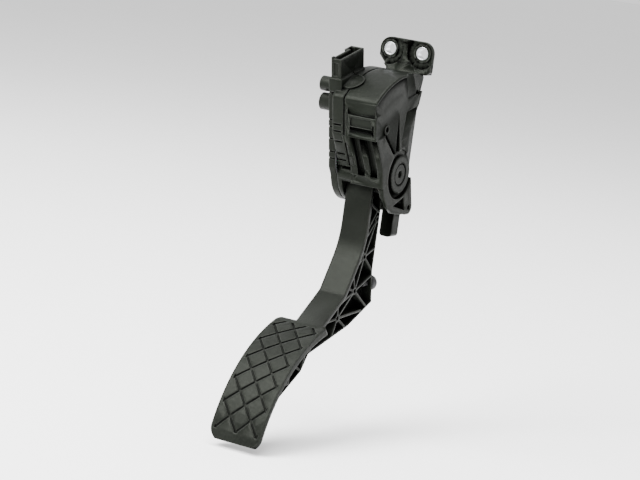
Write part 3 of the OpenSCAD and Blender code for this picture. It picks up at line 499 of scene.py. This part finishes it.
@dataclass(frozen=True)
class MouldedPlastic:
    """Glass-filled black moulding: grain, flow marks, painted shade and lighter edges.

    wear_and_highlight_tone is the tone of the lighter edges, which are partly wear and partly
    painted highlight, and of the tread's wear; edge_wear_highlight is its share on the edges,
    and light how much lighter the flow marks are. relief is the height of the grain, the
    streaks and the mottle. edge and painted_shade_reach are the reach of the rounded edges and
    of the painted shade in recesses, and the tread's grain lies below the height tread_below.
    """

    name: str
    tone: tuple = (0.0034, 0.0041, 0.0031)
    # Tone of the lighter edges, partly wear and partly painted highlight, and of the tread's wear
    wear_and_highlight_tone: tuple = (0.085, 0.09, 0.08)
    rough: float = 0.33
    spread: tuple = (0.1, 0.1, 0.08, 0.08)
    gloss: float = 0.055
    tint: tuple = (0.95, 1.0, 0.88, 1.0)
    grain: Grain = Grain.FINE
    grain_form: tuple = (2.0, 0.6)
    relief: tuple = (0.8, 0.6, 0.8)
    edge: float = 1.5
    # Lighter edges, partly wear and partly painted highlight: their share, reach and span
    edge_wear_highlight: float = 0.26
    wear_highlight_reach: float = 0.9
    wear_highlight_span: tuple = (0.2, 0.6)
    # Reach of the painted shade laid into grooves and pockets
    painted_shade_reach: float = 5.0
    light: float = 1.45
    flow: tuple = (38.0, 5.0, 0.6)
    flow_span: tuple = (0.35, 0.68)
    streaks: tuple = (260.0, 4.0, 0.65)
    mottle: tuple = (640.0, 3.0, 0.6)
    mottle_span: tuple = (0.3, 0.7)
    tread: tuple = (900.0, 3.0, 0.65)
    tread_below: Optional[float] = None
    tread_fade: float = 4.0
    tread_height: float = 5.0
    tread_rubbed: float = 0.022
    tread_rough: float = 0.1

    def make(self) -> bpy.types.Material:
        """Builds the material.

        Returns:
            The material.
        """
        t = Tree(self.name)
        scale, depth = self.grain.value
        flow = t.noise(*self.flow)
        streaks = t.noise(*self.streaks)
        grain = t.noise(scale, *self.grain_form)
        # Edges lighter towards the wear tone: partly wear, partly painted highlight on rounded
        # edges
        edge = t.edges(min(self.edge, self.wear_highlight_reach) * MM) * streaks.above(*self.wear_highlight_span)
        light = tuple(self.light * c for c in self.tone)
        base = t.blend(flow.above(*self.flow_span), self.tone, light)
        base = t.blend(edge * self.edge_wear_highlight, base, self.wear_and_highlight_tone)
        mottle = t.noise(*self.mottle).above(*self.mottle_span)
        rough = t.uneven(self.rough, self.spread, flow, streaks, mottle)
        fine, wide, spotted = self.relief
        bump = grain * fine + streaks * wide + mottle * spotted
        if self.tread_below is not None:
            start, end = self.tread_below, self.tread_below + self.tread_fade
            on_pad = 1.0 - t.height().above(start * MM, end * MM)
            bump = bump + t.noise(*self.tread) * on_pad * self.tread_height
            base = t.blend(mottle * on_pad * self.tread_rubbed, base, self.wear_and_highlight_tone)
            rough = rough + on_pad * (mottle * self.tread_rough)
        # The last argument paints shade, a black mix, into grooves and pockets
        return t.finish(base, rough, bump, depth, self.edge * MM, t.painted_recess_shade(self.painted_shade_reach * MM),
                        Specular_IOR_Level=self.gloss, Specular_Tint=self.tint)


@dataclass(frozen=True)
class PlatedSteel:
    """Zinc-plated or drawn steel with fine draw lines and dull patches."""

    name: str
    tone: tuple = (0.62, 0.63, 0.65)
    dull: tuple = (0.42, 0.42, 0.43)
    rough: float = 0.3
    spread: tuple = (0.05, 0.18, 0.06)
    patches: tuple = (420.0, 5.0, 0.6)
    patch_span: tuple = (0.4, 0.7)
    lines: tuple = (6200.0, 2.0, 0.5)
    depth: float = 0.01
    edge: float = 0.25

    def make(self) -> bpy.types.Material:
        """Builds the material.

        Returns:
            The material.
        """
        t = Tree(self.name)
        patch = t.noise(*self.patches)
        fine = t.noise(*self.lines)
        base = t.blend(patch.above(*self.patch_span), self.tone, self.dull)
        rough = t.uneven(self.rough, self.spread, patch, fine)
        return t.finish(base, rough, fine, self.depth * MM, self.edge * MM, Metallic=1.0)


@dataclass(frozen=True)
class SoftRubber:
    """Black rubber with a dull bloom and a fine moulded skin."""

    name: str
    tone: tuple = (0.014, 0.014, 0.0145)
    bloom: tuple = (0.04, 0.04, 0.042)
    rough: float = 0.72
    spread: tuple = (0.08, 0.16)
    gloss: float = 0.3
    clouds: tuple = (180.0, 5.0, 0.65)
    cloud_span: tuple = (0.42, 0.7)
    skin: tuple = (4200.0, 3.0, 0.6)
    depth: float = 0.04
    edge: float = 0.3

    def make(self) -> bpy.types.Material:
        """Builds the material.

        Returns:
            The material.
        """
        t = Tree(self.name)
        cloud = t.noise(*self.clouds)
        skin = t.noise(*self.skin)
        base = t.blend(cloud.above(*self.cloud_span), self.tone, self.bloom)
        rough = t.uneven(self.rough, self.spread, cloud)
        return t.finish(base, rough, skin, self.depth * MM, self.edge * MM,
                        Specular_IOR_Level=self.gloss)


@dataclass(frozen=True)
class BearingPlastic:
    """Bearing plastic, milky or grey, with slight yellowing and a fine skin."""

    name: str
    tone: tuple = (0.72, 0.69, 0.6)
    aged: tuple = (0.6, 0.55, 0.42)
    rough: float = 0.38
    spread: tuple = (0.05, 0.12)
    clouds: tuple = (150.0, 4.0, 0.6)
    cloud_span: tuple = (0.35, 0.75)
    skin: tuple = (3800.0, 2.0, 0.5)
    depth: float = 0.02
    edge: float = 0.3

    def make(self) -> bpy.types.Material:
        """Builds the material.

        Returns:
            The material.
        """
        t = Tree(self.name)
        cloud = t.noise(*self.clouds)
        skin = t.noise(*self.skin)
        base = t.blend(cloud.above(*self.cloud_span), self.tone, self.aged)
        rough = t.uneven(self.rough, self.spread, cloud)
        return t.finish(base, rough, skin, self.depth * MM, self.edge * MM)


@dataclass(frozen=True)
class BoardLaminate:
    """Green solder mask over woven glass."""

    name: str
    tone: tuple = (0.02, 0.11, 0.045)
    weave: tuple = (0.035, 0.16, 0.07)
    rough: float = 0.25
    spread: tuple = (0.0, 0.15)
    threads: float = 900.0
    waver: float = 0.6
    clouds: tuple = (300.0, 3.0)
    mix: tuple = (0.5, 0.3)
    depth: float = 0.02
    edge: float = 0.2

    def make(self) -> bpy.types.Material:
        """Builds the material.

        Returns:
            The material.
        """
        t = Tree(self.name)
        threads = t.node("ShaderNodeTexWave", {"wave_type": "BANDS", "bands_direction": "Y"},
                         {"Vector": t.where(), "Scale": self.threads,
                          "Distortion": self.waver}, out="Fac")
        cloud = t.noise(*self.clouds)
        thread, haze = self.mix
        base = t.blend(threads * thread + cloud * haze, self.tone, self.weave)
        rough = t.uneven(self.rough, self.spread, cloud)
        return t.finish(base, rough, threads, self.depth * MM, self.edge * MM)


@dataclass(frozen=True)
class ContactPlate:
    """Plated contact metal with a faint tarnish."""

    name: str
    tone: tuple = (0.8, 0.66, 0.36)
    tarnish: tuple = (0.5, 0.36, 0.18)
    rough: float = 0.22
    spread: tuple = (0.0, 0.2)
    clouds: tuple = (700.0, 4.0)
    cloud_span: tuple = (0.45, 0.75)
    depth: float = 0.01
    edge: float = 0.1

    def make(self) -> bpy.types.Material:
        """Builds the material.

        Returns:
            The material.
        """
        t = Tree(self.name)
        cloud = t.noise(*self.clouds)
        base = t.blend(cloud.above(*self.cloud_span), self.tone, self.tarnish)
        rough = t.uneven(self.rough, self.spread, cloud)
        return t.finish(base, rough, cloud, self.depth * MM, self.edge * MM, Metallic=1.0)


@dataclass
class Finishes:
    """Every finish of the pedal, made once."""

    casing: bpy.types.Material = field(init=False)
    lid: bpy.types.Material = field(init=False)
    arm: bpy.types.Material = field(init=False)
    shaft: bpy.types.Material = field(init=False)
    rubber: bpy.types.Material = field(init=False)
    steel: bpy.types.Material = field(init=False)
    wire: bpy.types.Material = field(init=False)
    bearing: bpy.types.Material = field(init=False)
    washer: bpy.types.Material = field(init=False)
    board: bpy.types.Material = field(init=False)
    chip: bpy.types.Material = field(init=False)
    contact: bpy.types.Material = field(init=False)
    solder: bpy.types.Material = field(init=False)
    magnet: bpy.types.Material = field(init=False)

    def __post_init__(self) -> None:
        """Makes the materials."""
        self.casing = MouldedPlastic("casing_moulding").make()
        self.lid = MouldedPlastic("lid_moulding", tone=(0.0038, 0.0044, 0.0035),
                                  grain=Grain.COARSE, rough=0.4).make()
        self.arm = MouldedPlastic("arm_moulding", tone=(0.0044, 0.005, 0.0041), rough=0.32,
                                  grain=Grain.SATIN, edge_wear_highlight=0.24, painted_shade_reach=7.0,
                                  tread_below=-166.0).make()
        self.shaft = MouldedPlastic("shaft_moulding", tone=(0.0052, 0.0058, 0.0049), rough=0.34,
                                    grain=Grain.SATIN, edge=0.5, painted_shade_reach=2.0).make()
        self.rubber = SoftRubber("buffer_rubber").make()
        self.steel = PlatedSteel("plated_steel").make()
        self.wire = PlatedSteel("drawn_wire", tone=(0.5, 0.51, 0.53), rough=0.34).make()
        self.bearing = BearingPlastic("milky_bearing").make()
        self.washer = BearingPlastic("friction_lining", tone=(0.02, 0.019, 0.017),
                                     aged=(0.032, 0.028, 0.024), rough=0.5).make()
        self.board = BoardLaminate("green_laminate").make()
        self.chip = MouldedPlastic("chip_body", tone=(0.012, 0.012, 0.013), edge=0.15,
                                   painted_shade_reach=0.5).make()
        self.contact = ContactPlate("contact_plate").make()
        self.solder = PlatedSteel("solder", tone=(0.66, 0.67, 0.68), rough=0.24).make()
        self.magnet = PlatedSteel("bonded_magnet", tone=(0.16, 0.16, 0.17),
                                  dull=(0.09, 0.09, 0.1), rough=0.5).make()


def dress(obj: bpy.types.Object, material: bpy.types.Material) -> None:
    """Puts one material on a piece, in place of any other."""
    obj.data.materials.clear()
    obj.data.materials.append(material)


def dress_nodes(frame: dict, nodes: Sequence[str], material: bpy.types.Material) -> None:
    """Gives nodes of the frame their material and reports them.

    Args:
        nodes: names of the nodes.
        material: their finish.
    """
    for node in nodes:
        obj = frame["nodes"][node]
        if not obj.material_slots:
            obj.data.materials.append(material)
        for slot in obj.material_slots:
            slot.material = material
        LOG.info("dressed node %s with %s", node, material.name)


@dataclass(frozen=True)
class EdgeRounding:
    """How a node's copy is merged and rounded, with angles in degrees.

    Points merge within a distance in metres, and faces that lean less than flat become
    one. Faces with more than corners corners are split again, so that narrow flats with
    many holes keep their form. Edges above sharp stay crisp, and those above start are
    rounded.
    """

    merge: float = 3e-6
    flat: float = 0.6
    corners: int = 4
    sharp: float = 28.0
    start: float = 38.0
    segments: int = 2

    def merged(self, mesh: bpy.types.Mesh) -> None:
        """Merges a mesh's points and its flat faces, in place.

        Args:
            mesh: the mesh.
        """
        bm = bmesh.new()
        bm.from_mesh(mesh)
        bmesh.ops.remove_doubles(bm, verts=bm.verts, dist=self.merge)
        bmesh.ops.dissolve_limit(bm, angle_limit=math.radians(self.flat), verts=bm.verts,
                                 edges=bm.edges)
        bmesh.ops.triangulate(bm, faces=[f for f in bm.faces if len(f.verts) > self.corners])
        bm.to_mesh(mesh)
        bm.free()
        mesh.shade_smooth()
        mesh.set_sharp_from_angle(angle=math.radians(self.sharp))

    def bevel(self, obj: bpy.types.Object, width: float) -> None:
        """Adds the modifier that rounds an object's edges.

        Args:
            obj: the object.
            width: width of the rounded edges in mm.
        """
        bevel = obj.modifiers.new("rounded_edges", "BEVEL")
        bevel.width = width * MM
        bevel.segments = self.segments
        bevel.limit_method = "ANGLE"
        bevel.angle_limit = math.radians(self.start)
        bevel.use_clamp_overlap = True
        bevel.harden_normals = True
        bevel.miter_outer = "MITER_ARC"


def moulded_copy(frame: dict, node: str, body: str, material: bpy.types.Material,
                 edge: float) -> None:
    """Stands in for a node with a merged copy whose edges are rounded.

    Args:
        node: name of the node.
        body: body that the copy rides on.
        material: its finish.
        edge: width of the rounded edges in mm.
    """
    source = frame["nodes"][node]
    obj = source.copy()
    obj.data = source.data.copy()
    obj.name = obj.data.name = f"moulded_{node}"
    bpy.context.scene.collection.objects.link(obj)
    place = source.matrix_world.copy()
    obj.parent = None
    obj.data.transform(place)
    obj.matrix_world = Matrix.Identity(4)
    rounding = EdgeRounding()
    rounding.merged(obj.data)
    rounding.bevel(obj, edge)
    dress(obj, material)
    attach(obj, body)
    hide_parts(node)
    LOG.info("rounded copy of %s: %d faces before its edges", node, len(obj.data.polygons))


def fit(obj: bpy.types.Object, material: bpy.types.Material, body: Optional[str], slot: str,
        *nodes: str) -> None:
    """Dresses a new piece and sets it on its body in place of nodes.

    Args:
        obj: the piece.
        material: its finish.
        body: body that it rides on, or None to leave it on no body.
        slot: material slot of the record; not used.
        nodes: nodes that it stands for.
    """
    dress(obj, material)
    if body is not None:
        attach(obj, body)
    if nodes:
        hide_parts(*nodes)
    LOG.info("made %s: %d faces", obj.name, len(obj.data.polygons))


# Sub-assemblies


@dataclass
class Casing:
    """Bearing housing with its flange, back plate, peg and steel sleeves."""

    bolt_spacing: float = 22.4
    bore_r: float = 3.3
    wall: float = 0.7
    length: float = 5.9
    chamfer: float = 0.25
    rim: float = 0.1
    sides: int = 72
    edge: float = 0.45

    def build(self, frame: dict, finishes: Finishes) -> None:
        """Dresses the housing and turns the sleeves in its bolt holes.

        Args:
            finishes: the pedal's finishes.
        """
        moulded_copy(frame, "housing", "bracket", finishes.casing, self.edge)
        for side, node in ((-1, "sleeve_left"), (1, "sleeve_right")):
            ring = turned(self.ring(), (side * self.bolt_spacing / 2, 0, 0), "y", self.sides)
            fit(closed_piece(f"steel_{node}", [ring]), finishes.steel, "bracket",
                "sleeve_steel", node)

    def ring(self) -> np.ndarray:
        """Section of a sleeve, chamfered at both ends of its bore and broken at its rims.

        Returns:
            (n, 2) closed profile of distance along the axis and radius.
        """
        r0, r1, end = self.bore_r, self.bore_r + self.wall, -self.length
        c, b = self.chamfer, self.rim
        return np.array([[0, r0 + c], [0, r1 - b], [-b, r1], [end + b, r1],
                         [end, r1 - b], [end, r0 + c], [end + c, r0], [-c, r0], [0, r0 + c]])


@dataclass
class SensorHousing:
    """Sensor carrier with its plug shroud, the lid, and the electronics inside.

    head_x is where a screw's head starts and ends, and drive holds depths under its top
    with their radii. crown is how much of the head's side is rounded off, in two steps, and
    point how the shank's tip tapers. Screws and board parts stand at (y, z) places, and
    the contact blades at blade_y: the first one's place and their pitch.
    """

    edge: float = 0.4
    lid_edge: float = 0.6
    chip_edge: float = 0.12
    blade_edge: float = 0.15
    head_x: tuple = (-19.8, -18.6)
    drive: tuple = ((0.9, 0), (0.9, 1.0), (0.05, 1.25), (0, 1.45), (0.05, 2.0))
    crown: tuple = (0.25, 0.6)
    rim: float = 0.05
    screw_end: float = 10.8
    point: tuple = (0.8, 0.6)
    screw_r: float = 1.58
    head_r: float = 2.7
    lobe: float = 0.2
    screw_sides: int = 48
    screw_at: tuple = ((22.5, 46.5), (11.0, -25.5))
    board_face: float = -17.1
    part_half: tuple = (0.33, 1.0, 0.62)
    long_part: float = 1.3
    part_lift: float = 0.3
    part_power: float = 0.16
    part_at: tuple = ((-12, 14), (-12, 19), (-4, 17), (2, 20), (-16, 26), (-6, 30), (0, 33),
                      (5, 27))
    fillet: tuple = ((-0.1, 0), (-0.1, 0.85), (0.1, 0.8), (0.35, 0.55), (0.55, 0.45), (0.6, 0))
    blade_z: float = 50.3
    blade_y: tuple = (-21.45, 4.1)
    blades: int = 6
    solder_sides: int = 20

    def build(self, frame: dict, finishes: Finishes) -> None:
        """Dresses the carrier and lid, and everything between them.

        Args:
            finishes: the pedal's finishes.
        """
        moulded_copy(frame, "sensor_carrier", "bracket", finishes.casing,
                     self.edge)
        moulded_copy(frame, "sensor_cover", "bracket", finishes.lid,
                     self.lid_edge)
        dress_nodes(frame, ["cover_gasket"], finishes.rubber)
        dress_nodes(frame, ["circuit_board"], finishes.board)
        moulded_copy(frame, "sensor_chip", "bracket", finishes.chip,
                     self.chip_edge)
        for k in range(1, self.blades + 1):
            moulded_copy(frame, f"terminal_{k}", "bracket", finishes.contact,
                         self.blade_edge)
        fit(closed_piece("turned_screws", self.screws()), finishes.steel, "bracket",
            "sleeve_steel", "cover_screws")
        fit(closed_piece("board_parts", self.board_parts()), finishes.chip, "bracket",
            "chip_plastic")
        fit(closed_piece("solder_joints", self.solder()), finishes.solder, "bracket",
            "contact_metal")

    def screws(self) -> list:
        """Both cover screws, with a lobed drive sunk in each rounded head.

        Returns:
            Points in mm and faces of each screw.
        """
        x0, x1 = self.head_x
        r, head, end = self.screw_r, self.head_r, self.screw_end
        (round_off, side), (back, taper), rim = self.crown, self.point, self.rim
        drive = [[x0 + depth, radius] for depth, radius in self.drive]
        cap = [[x0 + round_off, head - round_off], [x0 + side, head]]
        under = [[x1 - rim, head], [x1, head - rim], [x1, r]]
        shank = [[end - back, r], [end, r - taper], [end, 0]]
        profile = np.array(drive + cap + under + shank)
        lobes = np.zeros(len(profile))
        lobes[1:3] = self.lobe
        return [(leaning(points), faces) for points, faces in (
            turned(profile, (0, y, z), "x", self.screw_sides, lobes) for y, z in self.screw_at)]

    def board_parts(self) -> list:
        """Small capacitors and resistors on the board's inner face, every third one longer.

        Returns:
            Points in mm and faces of each part.
        """
        hx, hy, hz = self.part_half
        x = self.board_face + self.part_lift
        return [(leaning(points), faces) for points, faces in (
            pillow((x, y, z), (hx, hy if k % 3 else self.long_part, hz), self.part_power)
            for k, (y, z) in enumerate(self.part_at))]

    def solder(self) -> list:
        """A fillet of solder about the foot of each contact blade, on the inner face.

        Returns:
            Points in mm and faces of each fillet.
        """
        cone = np.array(self.fillet) + np.array([self.board_face, 0.0])
        first, pitch = self.blade_y
        return [(leaning(points), faces) for points, faces in (
            turned(cone, (0, first + k * pitch, self.blade_z), "x", self.solder_sides)
            for k in range(self.blades))]


@dataclass
class Bearing:
    """Pivot shaft, bushes, friction washer and the sensor's rotor."""

    edge: float = 0.35

    def build(self, frame: dict, finishes: Finishes) -> None:
        """Dresses the bearing.

        Args:
            finishes: the pedal's finishes.
        """
        moulded_copy(frame, "pivot_shaft", "pedal", finishes.shaft, self.edge)
        dress_nodes(frame, ["bush_left", "bush_right", "sensor_rotor"], finishes.bearing)
        dress_nodes(frame, ["friction_washer"], finishes.washer)
        dress_nodes(frame, ["rotor_magnet"], finishes.magnet)


@dataclass
class Arm:
    """Pedal arm with its lattice, the foot pad and the rubber buffer."""

    edge: float = 0.3
    stem_r: float = 1.75
    neck: float = 7.0
    dome: float = 1.6
    dome_steps: int = 7
    sides: int = 48

    def build(self, frame: dict, finishes: Finishes) -> None:
        """Dresses the arm and turns the domed buffer over its stem.

        Args:
            finishes: the pedal's finishes.
        """
        moulded_copy(frame, "pedal_arm", "pedal", finishes.arm, self.edge)
        low, high = (np.array(corner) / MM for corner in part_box("stop_buffer"))
        middle = (low + high) / 2
        end, r = high[1] - low[1], (high[0] - low[0]) / 2
        corners = np.array([[0, 0], [0, self.stem_r], [self.neck, self.stem_r], [self.neck, r],
                            [end, r], [end, 0]])
        shape = turned(rounded_profile(corners, self.dome, self.dome_steps),
                       (middle[0], low[1], middle[2]), "y", self.sides)
        fit(closed_piece("rubber_buffer", [shape]), finishes.rubber, "pedal", "seal_rubber",
            "stop_buffer")


@dataclass
class SpringPack:
    """Two coil springs between the seat on the front wall and the pedal's saddle.

    A spring is its outer diameter, the diameter of its wire and its number of turns. closed
    is the part of a turn that lies flat at each end, and slim keeps the wire's many-sided
    section inside its round one.
    """

    x: float = 3.0
    z: float = 40.5
    y_start: float = -25.8
    y_end: float = -0.9
    outer: tuple = (15.6, 1.6, 7.0)
    inner: tuple = (10.4, 1.1, 8.0)
    closed: float = 0.75
    steps: int = 40
    slim: float = 0.98

    def build(self, frame: dict, finishes: Finishes) -> None:
        """Dresses the seats and winds both springs.

        Args:
            finishes: the pedal's finishes.
        """
        dress_nodes(frame, ["spring_saddle", "spring_seat"], finishes.bearing)
        for node, spring in (("outer_spring", self.outer), ("inner_spring", self.inner)):
            obj = closed_piece(f"wound_{node}", [self.wire(*spring)])
            fit(obj, finishes.wire, None, "spring_steel", node)
            ends = [tuple(leaning(np.array([self.x, y, self.z])) * MM)
                    for y in (self.y_start, self.y_end)]
            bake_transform(obj)

    def wire(self, diameter: float, wire: float, turns: float) -> tuple:
        """Winds one spring with a closed turn at each end.

        The path is (r cos a, y(a), r sin a): y stays level over the closed part of a turn
        at each end and rises evenly between.

        Args:
            diameter: outer diameter of the spring.
            wire: diameter of its wire.
            turns: number of turns.

        Returns:
            Points in mm and faces.
        """
        r = (diameter - wire) / 2
        a = np.linspace(0, 2 * math.pi * turns, int(turns * self.steps) + 1)
        rise = np.clip((a / (2 * math.pi) - self.closed) / (turns - 2 * self.closed), 0, 1)
        y0, y1 = self.y_start + wire / 2, self.y_end - wire / 2
        path = np.stack([self.x + r * np.cos(a), y0 + (y1 - y0) * rise,
                         self.z + r * np.sin(a)], -1)
        return swept_wire(leaning(path), wire / 2 * self.slim)


# Studio


@dataclass
class Studio:
    """Pale floor, soft lights and the camera of the photograph.

    Each light is its name, the direction from the part to it, its side in metres and its
    power in watts. They stand at reach metres from the point aim and face it.
    """

    azimuth: float = 28.4
    elevation: float = 9.4
    roll: float = 7.6
    focal_px: float = 2300.0
    distance: float = 1426.0
    ref: tuple = (0.0, -7.0, 0.0)
    ref_px: tuple = (405.35, 50.95)
    sensor: float = 36.0
    clip: tuple = (0.05, 20.0)
    floor_z: float = -236.0
    floor_half: float = 6000.0
    floor_tones: tuple = ((0.86, 0.86, 0.86), (0.88, 0.88, 0.88))
    floor_cloud: tuple = (3.0, 2.0)
    floor_rough: float = 0.6
    sky: float = 1.15
    reach: float = 1.5
    aim: tuple = (0.0, -0.06, -0.11)
    lights: tuple = (
        ("key", (-0.33, -0.71, 0.62), 0.7, 56.0),
        ("high_left", (-0.38, -0.32, 0.87), 0.7, 34.0),
        ("overhead", (0.0, 0.0, 1.0), 0.8, 44.0),
        ("left_rim", (-0.68, 0.39, 0.62), 0.7, 5.0),
        ("back_rim", (0.48, 0.84, 0.26), 0.7, 6.0))

    def build(self) -> None:
        """Sets up camera, floor, lights and the pale surroundings."""
        self.camera()
        self.floor()
        for name, toward, size, power in self.lights:
            self.light(name, toward, size, power)
        world = bpy.data.worlds.new("surroundings")
        world.use_nodes = True
        background = world.node_tree.nodes["Background"]
        background.inputs["Color"].default_value = (1, 1, 1, 1)
        background.inputs["Strength"].default_value = self.sky
        bpy.context.scene.world = world

    def camera(self) -> None:
        """Places the camera so that the reference point falls on its pixel."""
        a, e, g = (math.radians(v) for v in (self.azimuth, self.elevation, self.roll))
        back = np.array([math.sin(a) * math.cos(e), -math.cos(a) * math.cos(e), math.sin(e)])
        level = np.array([math.cos(a), math.sin(a), 0.0])
        high = np.cross(back, level)
        right = level * math.cos(g) + high * math.sin(g)
        up = high * math.cos(g) - level * math.sin(g)
        x, y = self.ref_px[0] - IMAGE[0] / 2, IMAGE[1] / 2 - self.ref_px[1]
        place = (np.array(self.ref) + back * self.distance
                 - (right * x + up * y) * self.distance / self.focal_px)
        data = bpy.data.cameras.new("camera")
        data.sensor_width = self.sensor
        data.lens = self.sensor * self.focal_px / IMAGE[0]
        data.clip_start, data.clip_end = self.clip
        obj = bpy.data.objects.new("camera", data)
        turn = Matrix([[right[k], up[k], back[k]] for k in range(3)])
        obj.matrix_world = Matrix.Translation(Vector(place * MM)) @ turn.to_4x4()
        bpy.context.scene.collection.objects.link(obj)
        bpy.context.scene.camera = obj

    def floor(self) -> None:
        """Lays a large pale floor whose surface is the plane z = floor_z."""
        t = Tree("pale_floor")
        base = t.blend(t.noise(*self.floor_cloud), *self.floor_tones)
        half = self.floor_half
        corners = np.array([[-half, -half], [half, -half], [half, half], [-half, half]])
        verts = np.column_stack([corners, np.full(4, self.floor_z)])
        obj = mesh_object("floor", verts, [[0, 1, 2, 3]])
        dress(obj, t.finish(base, self.floor_rough))

    def light(self, name: str, toward: Sequence[float], size: float, power: float) -> None:
        """Hangs one soft square light that faces the part.

        Args:
            name: its name.
            toward: direction from the part to the light.
            size: its side in metres.
            power: its power in watts.
        """
        data = bpy.data.lights.new(name, "AREA")
        data.shape, data.size, data.energy = "SQUARE", size, power
        obj = bpy.data.objects.new(name, data)
        way = Vector(toward).normalized()
        obj.location = Vector(self.aim) + way * self.reach
        obj.rotation_mode = "QUATERNION"
        obj.rotation_quaternion = way.to_track_quat("Z", "Y")
        bpy.context.scene.collection.objects.link(obj)


def main() -> None:
    """Builds the pedal's looks in order."""
    logging.basicConfig(level=logging.INFO, format="%(name)s: %(message)s")
    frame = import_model()
    finishes = Finishes()
    Studio().build()
    for assembly in (Casing(), SensorHousing(), Bearing(), Arm(), SpringPack()):
        assembly.build(frame, finishes)
        LOG.info("built the %s", type(assembly).__name__)


if __name__ == "__main__":
    main()
